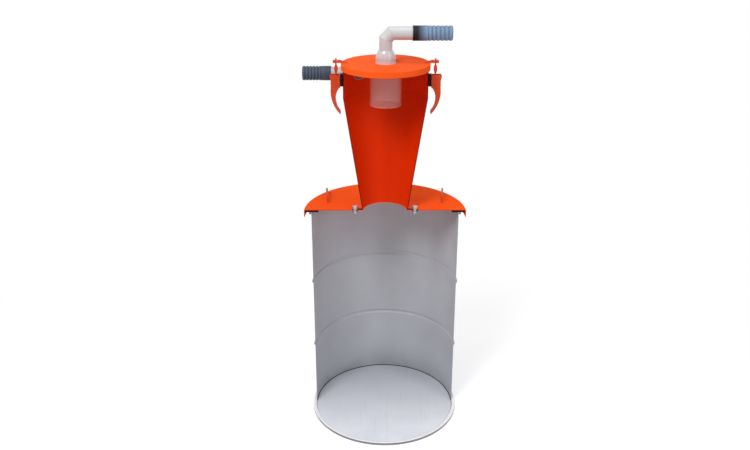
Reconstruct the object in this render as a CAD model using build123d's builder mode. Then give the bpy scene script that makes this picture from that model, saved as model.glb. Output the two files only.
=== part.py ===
from build123d import *
from math import atan2, cos
import os

# A cutaway cyclone dust separator on a steel drum, in millimetres.
# The origin is the centre of the drum's foot, Z is up, and the plane Y = 0 is the cut:
# the drum, its lid and the cone keep only their rear half, on the side of +Y.
# Left is -X, where the dirty air enters, and right is +X, where the clean air leaves.

# Drum
drum_radius = 287.0
drum_height = 872.0
drum_sheet = 1.5
hoop_heights = (287.0, 574.0)
hoop_reach = 5.0
hoop_width = 18.0
bottom_lift = 4.5
chime_width = 14.0
chime_height = 12.0
chime_round = 2.0
bead_width = 9.0
bead_height = 9.0

# Drum lid and its gasket
lid_play = 0.3
gasket_thickness = 7.7
gasket_width = 51.0
gasket_play = 1.0
drum_lid_skirt_play = 16.0
drum_lid_sheet = 3.0
drum_lid_skirt = 30.0
drum_lid_round = 4.0
handle_inset = 85.0
handle_front = 76.0
handle_length = 100.0
handle_height = 30.0
handle_rod = 7.0
handle_bend = 11.0
handle_splay = 9.0

# Barrel and cone
cone_sheet = 3.0
barrel_radius = 156.5
cone_bottom_radius = 88.0
cone_height = 439.0
barrel_height = 127.0
flange_radius = 128.0
flange_thickness = 5.0

# Flange bolts: a full ring of them, of which the cut leaves those from 0 to 180 degrees
bolt_circle = 116.0
bolts_in_half_turn = 4
bolt_size = 12.0
bolt_flats = 19.0
bolt_head_height = 7.5
hex_chamfer = 1.2
bolt_end = 2.0
bolt_hole_play = 0.75
nut_height = 10.0
washer_radius = 11.0
washer_thickness = 2.5

# Top lid
seal_thickness = 3.0
seal_overhang = 3.5
top_lid_sheet = 3.0
top_lid_gap = 3.0
top_lid_skirt = 22.0
top_lid_round = 2.5

# Air path
vortex_radius = 58.5
vortex_wall = 3.0
vortex_length = 152.0
pipe_radius = 24.2
pipe_wall = 2.2
socket_radius = 37.0
socket_wall = 3.0
socket_band = 17.5
socket_step = 1.2
socket_bulge = 2.2
socket_height = 46.0
socket_grip = 13.0
outlet_rise = 106.0
elbow_mitre = 20.0
inlet_drop = 64.0
inlet_offset = 120.0

# Rubber cuffs
cuff_bore_radius = 22.5
cuff_radius = 27.0
cuff_rib_count = 6
cuff_rib_depth = 3.0
outlet_cuff_start = 96.0
outlet_cuff_length = 143.0
outlet_cuff_collar = 54.0
outlet_cuff_grip = 45.0
inlet_cuff_start = 205.0
inlet_cuff_length = 108.0
inlet_cuff_collar = 35.0
inlet_cuff_grip = 33.0

# Toggle latch on the left: its places are measured outward from the barrel and down from the lid's top
latch_width = 25.0
pad_thickness = 9.5
pad_height = 43.0
base_plate = 3.0
ear_thickness = 3.0
ear_radius = 8.0
pivot_stand = 26.5
pivot_drop = 55.0
pin_size = 6.0
pin_head = 9.0
pin_head_thickness = 1.5
pin_play = 0.1
side_play = 1.0
head_play = 0.2
link_drop = 22.0
link_inset = 2.2
lever_sheet = 3.0
lever_front = 17.6
lever_flare = 4.0
lever_flare_drop = 8.0
lever_back = 16.0
lever_top = 11.6
lever_web_top = 2.0
lever_box_drop = 35.0
lever_channel_drop = 32.0
lever_slot_width = 16.0
lever_slot_drop = 28.0
lever_corner = 4.0
lever_round = 1.5
finger_drop = 133.4
finger_tip_back = 16.9
finger_waist_drop = 80.0
finger_waist_front = 14.0
finger_thickness = 13.4
finger_neck_back = 13.0
finger_tip_thickness = 8.5
rod_size = 5.0
eye_radius = 7.0
eye_width = 12.0
adjuster_width = 13.0
adjuster_thickness = 6.0
adjuster_height = 30.0
adjuster_rise = 40.0
adjuster_end = 3.0
cross_pin_rise = 8.5
cross_pin_size = 8.0
cross_pin_length = 15.0
rod_end = 7.5
keeper_width = 13.0
keeper_height = 9.5
keeper_tip_width = 5.0
keeper_tip_height = 2.0
keeper_root = 17.7
keeper_shoulder = 4.0
keeper_reach = 29.8
keeper_slot_width = 8.0
keeper_slot_back = 14.0
keeper_notch_width = 9.6
keeper_notch_play = 0.3
keeper_round = 2.0

# Radii of the drum lid and its gasket, which follow the drum's rim
drum_lid_inner_radius = drum_radius + bead_width + drum_lid_skirt_play
drum_lid_radius = drum_lid_inner_radius + drum_lid_sheet
gasket_inner_radius = drum_lid_inner_radius - gasket_play - gasket_width
handle_offset = drum_lid_radius - handle_inset

# Heights worked out from the sizes above
floor_top = bottom_lift + drum_sheet
gasket_foot = drum_height + lid_play
drum_lid_foot = gasket_foot + gasket_thickness
drum_lid_top = drum_lid_foot + drum_lid_sheet
cone_top = drum_lid_top + cone_height
barrel_top = cone_top + barrel_height
top_lid_foot = barrel_top + seal_thickness
top_lid_top = top_lid_foot + top_lid_sheet
top_lid_inner_radius = barrel_radius + top_lid_gap
top_lid_radius = top_lid_inner_radius + top_lid_sheet

# The cone's slope, and its wall measured level
cone_slope = (barrel_radius - cone_bottom_radius) / cone_height
cone_wall = cone_sheet / cos(atan2(barrel_radius - cone_bottom_radius, cone_height))
cone_inner_foot = cone_bottom_radius - cone_wall
barrel_inner_radius = barrel_radius - cone_sheet
seal_inner_radius = barrel_inner_radius - seal_overhang

pipe_bore = pipe_radius - pipe_wall
inlet_height = top_lid_top - inlet_drop
outlet_height = top_lid_top + outlet_rise
inlet_pipe_end = inlet_cuff_start + inlet_cuff_grip
outlet_pipe_end = outlet_cuff_start + outlet_cuff_grip

# The latch's three pivots, on the left
pivot_x = -(barrel_radius + pivot_stand)
pivot_z = top_lid_top - pivot_drop
link_x = pivot_x + link_inset
link_z = pivot_z - link_drop
cross_pin_z = top_lid_top + cross_pin_rise
base_face_x = -(barrel_radius + pad_thickness + base_plate)
lever_inner_half = latch_width / 2 + side_play
lever_half = lever_inner_half + lever_sheet

os.makedirs("parts", exist_ok=True)


def save(builder, name):
    """Label a finished piece and write it under that name."""
    builder.part.label = name
    export_step(builder.part, f"parts/{name}.step")


def save_pair(builder, name):
    """Write a piece of the left side, and its mirror image for the right side."""
    save(builder, f"{name}_left")
    with BuildPart() as other_side:
        mirror(builder.part, about=Plane.YZ)
    save(other_side, f"{name}_right")


def wall_side(radius):
    """Draw one side of the drum's wall from foot to rim, with an arc at each rolling hoop."""
    height = floor_top
    for hoop in hoop_heights:
        low = hoop - hoop_width / 2
        high = hoop + hoop_width / 2
        Line((radius, height), (radius, low))
        ThreePointArc((radius, low), (radius + hoop_reach, hoop), (radius, high))
        height = high
    Line((radius, height), (radius, drum_height))


# Drum: one rolled sheet with two swaged hoops
drum_inner_radius = drum_radius - drum_sheet
with BuildPart() as drum_wall:
    with BuildSketch(Plane.XZ):
        with BuildLine():
            wall_side(drum_radius)
            wall_side(drum_inner_radius)
            Line((drum_radius, floor_top), (drum_inner_radius, floor_top))
            Line((drum_radius, drum_height), (drum_inner_radius, drum_height))
        make_face()
    revolve(axis=Axis.Z, revolution_arc=180)
save(drum_wall, "drum_wall")

# Rolled bead round the rim: a hollow curl, flat where it lies against the wall
bead_round_radius = drum_radius + bead_width - bead_height / 2
with BuildPart() as drum_top_bead:
    with BuildSketch(Plane.XZ):
        with BuildLine():
            Polyline(
                (bead_round_radius, drum_height),
                (drum_radius, drum_height),
                (drum_radius, drum_height - bead_height),
                (bead_round_radius, drum_height - bead_height),
            )
            ThreePointArc(
                (bead_round_radius, drum_height - bead_height),
                (drum_radius + bead_width, drum_height - bead_height / 2),
                (bead_round_radius, drum_height),
            )
        make_face()
        offset(amount=-drum_sheet, mode=Mode.SUBTRACT)
    revolve(axis=Axis.Z, revolution_arc=180)
save(drum_top_bead, "drum_top_bead")

# Floor of the drum, whole, with the chime ring that it stands on
with BuildPart() as drum_bottom:
    with BuildSketch(Plane.XY.offset(bottom_lift)):
        Circle(drum_radius)
    extrude(amount=drum_sheet)
save(drum_bottom, "drum_bottom")

with BuildPart() as bottom_chime:
    with BuildSketch():
        Circle(drum_radius + chime_width)
        Circle(drum_radius, mode=Mode.SUBTRACT)
    extrude(amount=chime_height)
    outer_edges = bottom_chime.edges().filter_by(GeomType.CIRCLE).sort_by(SortBy.RADIUS)[-2:]
    fillet(outer_edges, chime_round)
save(bottom_chime, "bottom_chime")

# Flat rubber gasket on the rim, inside the lid's skirt
with BuildPart() as drum_gasket:
    with BuildSketch(Plane.XZ):
        with Locations((gasket_inner_radius, gasket_foot)):
            Rectangle(gasket_width, gasket_thickness, align=Align.MIN)
    revolve(axis=Axis.Z, revolution_arc=180)
save(drum_gasket, "drum_gasket")


def rim_edges(faces):
    """List the outer edges of some faces, leaving out their holes."""
    return [edge for face in faces for edge in face.outer_wire().edges()]


def bolt_places():
    """Places of the flange bolts that the cut leaves, the first and the last in the cut itself."""
    return PolarLocations(bolt_circle, bolts_in_half_turn + 1, angular_range=180, endpoint=True)


# Drum lid: a plate with a turned-down skirt, open under the cone
with BuildPart() as drum_lid:
    with BuildSketch(Plane.XZ):
        with BuildLine():
            Polyline(
                (cone_inner_foot, drum_lid_foot),
                (cone_inner_foot, drum_lid_top),
                (drum_lid_radius - drum_lid_round, drum_lid_top),
            )
            RadiusArc(
                (drum_lid_radius - drum_lid_round, drum_lid_top),
                (drum_lid_radius, drum_lid_top - drum_lid_round),
                drum_lid_round,
            )
            Polyline(
                (drum_lid_radius, drum_lid_top - drum_lid_round),
                (drum_lid_radius, drum_lid_top - drum_lid_skirt),
                (drum_lid_inner_radius, drum_lid_top - drum_lid_skirt),
                (drum_lid_inner_radius, drum_lid_foot),
                (cone_inner_foot, drum_lid_foot),
            )
        make_face()
    revolve(axis=Axis.Z, revolution_arc=180)
    with BuildSketch(Plane.XY.offset(drum_lid_foot)):
        with bolt_places():
            Circle(bolt_size / 2 + bolt_hole_play)
    extrude(amount=drum_lid_sheet, mode=Mode.SUBTRACT)
save(drum_lid, "drum_lid")

# Bow handles on the drum lid, bent from round rod, with the rear foot a little further out
handle_front_x = -(handle_offset - handle_splay / 2)
handle_rear_x = -(handle_offset + handle_splay / 2)
handle_rear = handle_front + handle_length
handle_top = drum_lid_top + handle_height - handle_rod / 2
with BuildPart() as lid_handle:
    with BuildLine() as handle_path:
        FilletPolyline(
            (handle_front_x, handle_front, drum_lid_top),
            (handle_front_x, handle_front, handle_top),
            (handle_rear_x, handle_rear, handle_top),
            (handle_rear_x, handle_rear, drum_lid_top),
            radius=handle_bend,
        )
    with BuildSketch(Plane(origin=handle_path.line @ 0, z_dir=handle_path.line % 0)):
        Circle(handle_rod / 2)
    sweep()
save_pair(lid_handle, "lid_handle")

# Cone, rolled from sheet, standing on the drum lid round its opening
with BuildPart() as cone:
    with BuildSketch(Plane.XZ):
        with BuildLine():
            Polyline(
                (cone_inner_foot, drum_lid_top),
                (cone_bottom_radius, drum_lid_top),
                (barrel_radius, cone_top),
                (barrel_radius - cone_wall, cone_top),
                (cone_inner_foot, drum_lid_top),
            )
        make_face()
    revolve(axis=Axis.Z, revolution_arc=180)
save(cone, "cone")

# Barrel on top of the cone, holed for the inlet pipe
with BuildPart() as barrel:
    with BuildSketch(Plane.XZ):
        with Locations((barrel_inner_radius, cone_top)):
            Rectangle(cone_sheet, barrel_height, align=Align.MIN)
    revolve(axis=Axis.Z, revolution_arc=180)
    with BuildSketch(Plane.YZ):
        with Locations((inlet_offset, inlet_height)):
            Circle(pipe_radius)
    extrude(amount=-barrel_radius, mode=Mode.SUBTRACT)
save(barrel, "barrel")

# Flange round the foot of the cone, bored to the cone's slope
with BuildPart() as cone_flange:
    with BuildSketch(Plane.XZ):
        with BuildLine():
            Polyline(
                (cone_bottom_radius, drum_lid_top),
                (flange_radius, drum_lid_top),
                (flange_radius, drum_lid_top + flange_thickness),
                (cone_bottom_radius + cone_slope * flange_thickness, drum_lid_top + flange_thickness),
                (cone_bottom_radius, drum_lid_top),
            )
        make_face()
    revolve(axis=Axis.Z, revolution_arc=180)
    with BuildSketch(Plane.XY.offset(drum_lid_top)):
        with bolt_places():
            Circle(bolt_size / 2 + bolt_hole_play)
    extrude(amount=flange_thickness, mode=Mode.SUBTRACT)
save(cone_flange, "cone_flange")

# Flange bolts with a washer above and a nut below the lid
washer_foot = drum_lid_top + flange_thickness
bolt_head_foot = washer_foot + washer_thickness
nut_foot = drum_lid_foot - nut_height
with BuildPart() as flange_bolts:
    with BuildSketch(Plane.XY.offset(bolt_head_foot)):
        with bolt_places():
            RegularPolygon(bolt_flats / 2, 6, major_radius=False)
    extrude(amount=bolt_head_height)
    chamfer(rim_edges(flange_bolts.faces().group_by(Axis.Z)[-1]), hex_chamfer)
    with BuildSketch(Plane.XY.offset(nut_foot - bolt_end)):
        with bolt_places():
            Circle(bolt_size / 2)
    extrude(amount=bolt_head_foot - nut_foot + bolt_end)
save(flange_bolts, "flange_bolts")

with BuildPart() as flange_washers:
    with BuildSketch(Plane.XY.offset(washer_foot)):
        with bolt_places():
            Circle(washer_radius)
            Circle(bolt_size / 2, mode=Mode.SUBTRACT)
    extrude(amount=washer_thickness)
save(flange_washers, "flange_washers")

with BuildPart() as flange_nuts:
    with BuildSketch(Plane.XY.offset(nut_foot)):
        with bolt_places():
            RegularPolygon(bolt_flats / 2, 6, major_radius=False)
            Circle(bolt_size / 2, mode=Mode.SUBTRACT)
    extrude(amount=nut_height)
    chamfer(rim_edges(flange_nuts.faces().group_by(Axis.Z)[0]), hex_chamfer)
save(flange_nuts, "flange_nuts")

# Rubber seal on the barrel's rim
with BuildPart() as lid_seal:
    with BuildSketch(Plane.XZ):
        with Locations((seal_inner_radius, barrel_top)):
            Rectangle(top_lid_inner_radius - seal_inner_radius, seal_thickness, align=Align.MIN)
    revolve(axis=Axis.Z, revolution_arc=180)
save(lid_seal, "lid_seal")

# Top lid, whole: a shallow pan turned over the barrel, open under the outlet socket
socket_bore = socket_radius - socket_wall
with BuildPart() as top_lid:
    with BuildSketch(Plane.XZ):
        with BuildLine():
            Polyline(
                (socket_bore, top_lid_foot),
                (socket_bore, top_lid_top),
                (top_lid_radius - top_lid_round, top_lid_top),
            )
            RadiusArc(
                (top_lid_radius - top_lid_round, top_lid_top),
                (top_lid_radius, top_lid_top - top_lid_round),
                top_lid_round,
            )
            Polyline(
                (top_lid_radius, top_lid_top - top_lid_round),
                (top_lid_radius, top_lid_top - top_lid_skirt),
                (top_lid_inner_radius, top_lid_top - top_lid_skirt),
                (top_lid_inner_radius, top_lid_foot),
                (socket_bore, top_lid_foot),
            )
        make_face()
    revolve(axis=Axis.Z)
save(top_lid, "top_lid")

# See-through tube that hangs from the top lid into the barrel
with BuildPart() as vortex_tube:
    with BuildSketch(Plane.XY.offset(top_lid_foot - vortex_length)):
        Circle(vortex_radius)
        Circle(vortex_radius - vortex_wall, mode=Mode.SUBTRACT)
    extrude(amount=vortex_length)
save(vortex_tube, "vortex_tube")

# Outlet socket on the top lid: a band, a rounded shoulder, and a ledge that the elbow stands on
socket_top = top_lid_top + socket_height
socket_ledge = socket_top - socket_grip
socket_neck_radius = pipe_radius + socket_wall
socket_shoulder_radius = socket_radius - socket_step
with BuildPart() as outlet_socket:
    with BuildSketch(Plane.XZ):
        with BuildLine():
            Polyline(
                (socket_bore, top_lid_top),
                (socket_radius, top_lid_top),
                (socket_radius, top_lid_top + socket_band),
                (socket_shoulder_radius, top_lid_top + socket_band),
            )
            ThreePointArc(
                (socket_shoulder_radius, top_lid_top + socket_band),
                (
                    (socket_shoulder_radius + socket_neck_radius) / 2 + socket_bulge,
                    (top_lid_top + socket_band + socket_top) / 2,
                ),
                (socket_neck_radius, socket_top),
            )
            Polyline(
                (socket_neck_radius, socket_top),
                (pipe_radius, socket_top),
                (pipe_radius, socket_ledge),
                (pipe_bore, socket_ledge),
                (socket_bore, top_lid_top + socket_band - socket_wall),
                (socket_bore, top_lid_top),
            )
        make_face()
    revolve(axis=Axis.Z)
save(outlet_socket, "outlet_socket")

# Outlet elbow, mitred in three segments
with BuildPart() as outlet_elbow:
    with BuildLine():
        Polyline(
            (0, 0, socket_ledge),
            (0, 0, outlet_height - elbow_mitre),
            (elbow_mitre, 0, outlet_height),
            (outlet_pipe_end, 0, outlet_height),
        )
    with BuildSketch(Plane.XY.offset(socket_ledge)):
        Circle(pipe_radius)
        Circle(pipe_bore, mode=Mode.SUBTRACT)
    sweep(transition=Transition.RIGHT)
save(outlet_elbow, "outlet_elbow")

# Inlet pipe, which enters the barrel off its axis and ends flush with the barrel's inside
with BuildPart() as inlet_pipe:
    with BuildSketch(Plane.YZ):
        with Locations((inlet_offset, inlet_height)):
            Circle(pipe_radius)
            Circle(pipe_bore, mode=Mode.SUBTRACT)
    extrude(amount=-inlet_pipe_end)
    with BuildSketch(Plane.XY.offset(inlet_height)):
        Circle(barrel_inner_radius)
    extrude(amount=pipe_radius, both=True, mode=Mode.SUBTRACT)
save(inlet_pipe, "inlet_pipe")


def cuff_outline(length, collar, grip):
    """Draw half the section of a cuff: a plain collar, then rounded ribs, on a stepped bore."""
    pitch = (length - collar) / cuff_rib_count
    root = cuff_radius - cuff_rib_depth
    Line((pipe_radius, 0), (cuff_radius, 0))
    Line((cuff_radius, 0), (cuff_radius, collar))
    Line((cuff_radius, collar), (root, collar))
    for rib in range(cuff_rib_count):
        start = collar + rib * pitch
        ThreePointArc((root, start), (cuff_radius, start + pitch / 2), (root, start + pitch))
    Polyline(
        (root, length),
        (cuff_bore_radius, length),
        (cuff_bore_radius, grip),
        (pipe_radius, grip),
        (pipe_radius, 0),
    )


# Rubber cuffs for the hoses: each is turned about its pipe's axis
outlet_cuff_origin = (outlet_cuff_start, 0, outlet_height)
with BuildPart() as outlet_cuff:
    with BuildSketch(Plane(origin=outlet_cuff_origin, x_dir=(0, 0, 1), z_dir=(0, 1, 0))):
        with BuildLine():
            cuff_outline(outlet_cuff_length, outlet_cuff_collar, outlet_cuff_grip)
        make_face()
    revolve(axis=Axis(outlet_cuff_origin, (1, 0, 0)))
save(outlet_cuff, "outlet_cuff")

inlet_cuff_origin = (-inlet_cuff_start, inlet_offset, inlet_height)
with BuildPart() as inlet_cuff:
    with BuildSketch(Plane(origin=inlet_cuff_origin, x_dir=(0, 0, 1), z_dir=(0, -1, 0))):
        with BuildLine():
            cuff_outline(inlet_cuff_length, inlet_cuff_collar, inlet_cuff_grip)
        make_face()
    revolve(axis=Axis(inlet_cuff_origin, (1, 0, 0)))
save(inlet_cuff, "inlet_cuff")

# Latch pad: rubber, hollowed on its back to the barrel
pad_foot = pivot_z - pad_height / 2 - ear_radius
base_back_x = -(barrel_radius + pad_thickness)
with BuildPart() as latch_pad:
    with BuildSketch(Plane.XY.offset(pad_foot)):
        with Locations((base_back_x, 0)):
            Rectangle(pad_thickness * 2, latch_width, align=(Align.MIN, Align.CENTER))
        Circle(barrel_radius, mode=Mode.SUBTRACT)
    extrude(amount=pad_height)
save_pair(latch_pad, "latch_pad")

# Latch base: a plate on the pad, with two ears that hold the lever's rivets
with BuildPart() as latch_base:
    with BuildSketch(Plane.XZ):
        with Locations((base_face_x, pad_foot)):
            Rectangle(base_plate, pad_height, align=Align.MIN)
    extrude(amount=latch_width / 2, both=True)
    with BuildSketch(Plane.XZ):
        with Locations((pivot_x, pivot_z)):
            Circle(ear_radius)
            Rectangle(base_face_x - pivot_x, ear_radius * 2, align=(Align.MIN, Align.CENTER))
            Circle(pin_size / 2, mode=Mode.SUBTRACT)
    extrude(amount=latch_width / 2, both=True)
    with BuildSketch(Plane.XY.offset(pad_foot)):
        with Locations((base_face_x, 0)):
            Rectangle(
                pivot_stand,
                latch_width - 2 * ear_thickness,
                align=(Align.MAX, Align.CENTER),
            )
    extrude(amount=pad_height, mode=Mode.SUBTRACT)
save_pair(latch_base, "latch_base")


def headed_pins(x, z, inner_half):
    """Make a pin along Y with a flat head at each end, left out between -inner_half and inner_half."""
    with BuildPart() as pins:
        for side in (-1, 1):
            with BuildSketch(Plane.XZ.offset(side * inner_half)):
                with Locations((x, z)):
                    Circle(pin_size / 2)
            extrude(amount=side * (lever_half + head_play - inner_half))
            with BuildSketch(Plane.XZ.offset(side * (lever_half + head_play))):
                with Locations((x, z)):
                    Circle(pin_head / 2)
            extrude(amount=side * pin_head_thickness)
    return pins


# Two rivets hold the lever to the ears and leave the middle free for the link rod.
# One pin through both of the lever's cheeks carries the rod's eye.
save_pair(headed_pins(pivot_x, pivot_z, latch_width / 2 - ear_thickness), "lever_rivets")
save_pair(headed_pins(link_x, link_z, 0), "link_pin")

# Latch lever: a channel that straddles the base and the link, drawn out below into a curved finger.
# Its cheeks flare forward at the top.
# Its web stops short of the cheeks at the top, to clear the base when the latch is thrown open,
# and is slotted, so that the link rod can pass through then.
lever_front_x = pivot_x - lever_front
lever_flare_x = lever_front_x - lever_flare
lever_back_x = pivot_x + lever_back
box_foot = pivot_z - lever_box_drop
tip_x = pivot_x + finger_tip_back
tip_z = pivot_z - finger_drop
waist_x = pivot_x - finger_waist_front
waist_z = pivot_z - finger_waist_drop
with BuildPart() as latch_lever:
    with BuildSketch(Plane.XZ):
        with BuildLine():
            Line((lever_back_x, box_foot), (lever_back_x, pivot_z + lever_top))
            Line((lever_back_x, pivot_z + lever_top), (lever_flare_x, pivot_z + lever_top))
            Line((lever_flare_x, pivot_z + lever_top), (lever_front_x, pivot_z - lever_flare_drop))
            Line((lever_front_x, pivot_z - lever_flare_drop), (lever_front_x, box_foot))
            ThreePointArc((lever_front_x, box_foot), (waist_x, waist_z), (tip_x, tip_z))
            Line((tip_x, tip_z), (tip_x, tip_z + finger_tip_thickness))
            ThreePointArc(
                (tip_x, tip_z + finger_tip_thickness),
                (waist_x + finger_thickness, waist_z),
                (pivot_x + finger_neck_back, box_foot),
            )
            Line((pivot_x + finger_neck_back, box_foot), (lever_back_x, box_foot))
        make_face()
        top_corners = [v for v in vertices() if v.Z > pivot_z]
        fillet(top_corners, lever_corner)
    extrude(amount=lever_half, both=True)
    lever_sides = latch_lever.faces().filter_by(Axis.Y)
    fillet(rim_edges(lever_sides), lever_round)
    channel_foot = pivot_z - lever_channel_drop
    with BuildSketch(Plane.XY.offset(channel_foot)):
        with Locations((lever_front_x + lever_sheet, 0)):
            Rectangle(
                lever_front + lever_back,
                lever_inner_half * 2,
                align=(Align.MIN, Align.CENTER),
            )
    extrude(amount=lever_channel_drop + lever_top, mode=Mode.SUBTRACT)
    web_reach = lever_flare + lever_sheet
    with BuildSketch(Plane.XY.offset(pivot_z + lever_web_top)):
        with Locations((lever_flare_x, 0)):
            Rectangle(web_reach, lever_inner_half * 2, align=(Align.MIN, Align.CENTER))
    extrude(amount=lever_top - lever_web_top, mode=Mode.SUBTRACT)
    with BuildSketch(Plane.XY.offset(pivot_z - lever_slot_drop)):
        with Locations((lever_flare_x, 0)):
            Rectangle(web_reach, lever_slot_width, align=(Align.MIN, Align.CENTER))
    extrude(amount=lever_slot_drop + lever_top, mode=Mode.SUBTRACT)
    with BuildSketch(Plane.XZ):
        with Locations((pivot_x, pivot_z)):
            Circle(pin_size / 2 + pin_play)
        with Locations((link_x, link_z)):
            Circle(pin_size / 2)
    extrude(amount=lever_half, both=True, mode=Mode.SUBTRACT)
save_pair(latch_lever, "latch_lever")

# Link rod: an eye on the link pin, and a round rod up through the cross pin
with BuildPart() as link_rod:
    with BuildSketch(Plane.XZ):
        with Locations((link_x, link_z)):
            Circle(eye_radius)
    extrude(amount=eye_width / 2, both=True)
    with BuildSketch(Plane.XY.offset(link_z)):
        with Locations((link_x, 0)):
            Circle(rod_size / 2)
    extrude(amount=cross_pin_z + rod_end - link_z)
    with BuildSketch(Plane.XZ):
        with Locations((link_x, link_z)):
            Circle(pin_size / 2 + pin_play)
    extrude(amount=eye_width / 2, both=True, mode=Mode.SUBTRACT)
save_pair(link_rod, "link_rod")

# Adjuster nut: a flat, lens-shaped body on the rod, which sets the latch's reach
adjuster_foot = link_z + adjuster_rise
adjuster_top = adjuster_foot + adjuster_height
adjuster_middle = adjuster_foot + adjuster_height / 2
adjuster_end_x = rod_size / 2 + adjuster_end
with BuildPart() as adjuster_nut:
    with BuildSketch(Plane.XZ):
        with BuildLine():
            for side in (-1, 1):
                ThreePointArc(
                    (link_x + side * adjuster_end_x / 2, adjuster_foot),
                    (link_x + side * adjuster_width / 2, adjuster_middle),
                    (link_x + side * adjuster_end_x / 2, adjuster_top),
                )
            for height in (adjuster_foot, adjuster_top):
                Line((link_x - adjuster_end_x / 2, height), (link_x + adjuster_end_x / 2, height))
        make_face()
    extrude(amount=adjuster_thickness / 2, both=True)
    with BuildSketch(Plane.XY.offset(adjuster_foot)):
        with Locations((link_x, 0)):
            Circle(rod_size / 2)
    extrude(amount=adjuster_height, mode=Mode.SUBTRACT)
save_pair(adjuster_nut, "adjuster_nut")

with BuildPart() as cross_pin:
    with BuildSketch(Plane.XZ):
        with Locations((link_x, cross_pin_z)):
            Circle(cross_pin_size / 2)
    extrude(amount=cross_pin_length / 2, both=True)
    with BuildSketch(Plane.XY.offset(top_lid_top)):
        with Locations((link_x, 0)):
            Circle(rod_size / 2)
    extrude(amount=cross_pin_rise + cross_pin_size, mode=Mode.SUBTRACT)
save_pair(cross_pin, "cross_pin")

# Keeper: an arm that grows out of the top lid, forked for the rod and notched for the cross pin
keeper_start_x = -(barrel_radius - keeper_root)
keeper_shoulder_x = -(top_lid_radius + keeper_shoulder)
keeper_end_x = -(top_lid_radius + keeper_reach)
keeper_top = top_lid_top + keeper_height
notch_foot = cross_pin_z - cross_pin_size / 2 - keeper_notch_play
with BuildPart() as latch_keeper:
    with BuildSketch(Plane.XY.offset(top_lid_top)):
        with BuildLine():
            Polyline(
                (keeper_start_x, -keeper_tip_width / 2),
                (keeper_shoulder_x, -keeper_width / 2),
                (keeper_end_x, -keeper_width / 2),
                (keeper_end_x, keeper_width / 2),
                (keeper_shoulder_x, keeper_width / 2),
                (keeper_start_x, keeper_tip_width / 2),
                (keeper_start_x, -keeper_tip_width / 2),
            )
        make_face()
    extrude(amount=keeper_height)
    fillet(latch_keeper.edges().filter_by(Axis.Z).sort_by(Axis.X)[:2], keeper_round)
    with BuildSketch(Plane.XZ):
        with BuildLine():
            Polyline(
                (keeper_start_x, top_lid_top),
                (keeper_start_x, top_lid_top + keeper_tip_height),
                (keeper_shoulder_x, keeper_top),
                (keeper_end_x, keeper_top),
                (keeper_end_x, top_lid_top),
                (keeper_start_x, top_lid_top),
            )
        make_face()
    extrude(amount=keeper_width / 2, both=True, mode=Mode.INTERSECT)
    with BuildSketch(Plane.XZ):
        with Locations((link_x, notch_foot)):
            Rectangle(keeper_notch_width, keeper_height, align=(Align.CENTER, Align.MIN))
    extrude(amount=keeper_width / 2, both=True, mode=Mode.SUBTRACT)
    with BuildSketch(Plane.XY.offset(top_lid_top)):
        with Locations((keeper_end_x, 0)):
            Rectangle(
                link_x - keeper_end_x + keeper_slot_back,
                keeper_slot_width,
                align=(Align.MIN, Align.CENTER),
            )
    extrude(amount=keeper_height, mode=Mode.SUBTRACT)
save_pair(latch_keeper, "latch_keeper")
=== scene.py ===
# %% [markdown]
# A cyclone dust separator on a steel drum, cut through the middle so that its inside shows.
# The shapes of the drum, the cone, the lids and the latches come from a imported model, the frame.
# This lesson dresses them: it sets up the view and the light, builds a finish for every surface
# from shader nodes, and adds the small work that a welder and a fitter leave behind.
# All lengths are in metres, Z is up, and the cut is the plane Y = 0.

# %% Load the frame
import math

import bmesh
import bpy
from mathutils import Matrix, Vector


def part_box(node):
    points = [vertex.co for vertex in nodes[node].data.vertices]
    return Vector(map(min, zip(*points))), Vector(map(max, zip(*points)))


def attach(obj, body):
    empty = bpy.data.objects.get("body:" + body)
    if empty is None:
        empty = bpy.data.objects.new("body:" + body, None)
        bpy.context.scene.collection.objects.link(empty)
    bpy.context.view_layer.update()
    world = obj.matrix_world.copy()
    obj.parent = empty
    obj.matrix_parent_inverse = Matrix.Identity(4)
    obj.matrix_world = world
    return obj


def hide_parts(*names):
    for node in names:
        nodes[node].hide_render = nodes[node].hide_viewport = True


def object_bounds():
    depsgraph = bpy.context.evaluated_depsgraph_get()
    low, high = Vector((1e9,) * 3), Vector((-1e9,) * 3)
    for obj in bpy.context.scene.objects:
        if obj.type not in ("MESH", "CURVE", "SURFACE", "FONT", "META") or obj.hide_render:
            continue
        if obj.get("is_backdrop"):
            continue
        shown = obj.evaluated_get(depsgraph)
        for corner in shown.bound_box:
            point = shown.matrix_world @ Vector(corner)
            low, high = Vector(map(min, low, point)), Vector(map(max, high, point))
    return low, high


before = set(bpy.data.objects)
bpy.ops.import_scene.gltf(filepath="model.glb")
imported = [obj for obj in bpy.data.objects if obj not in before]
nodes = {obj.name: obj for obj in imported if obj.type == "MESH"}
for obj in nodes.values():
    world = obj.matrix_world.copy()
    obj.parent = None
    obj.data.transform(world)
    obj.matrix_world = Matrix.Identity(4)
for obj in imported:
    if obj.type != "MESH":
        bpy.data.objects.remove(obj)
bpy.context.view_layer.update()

# %% [markdown]
# The view looks down on the machine from the front, a little over two metres up.
# A camera could be aimed with a constraint, but then it would turn when the view is edited,
# so its place and tilt are written out instead. The lens is a plain 40 mm one on a 36 mm sensor.

# %% Place the camera
camera_place = Vector((-0.0389, -3.044, 2.079))
camera_tilt = math.radians(67.51)
camera_lens = 40.43

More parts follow.
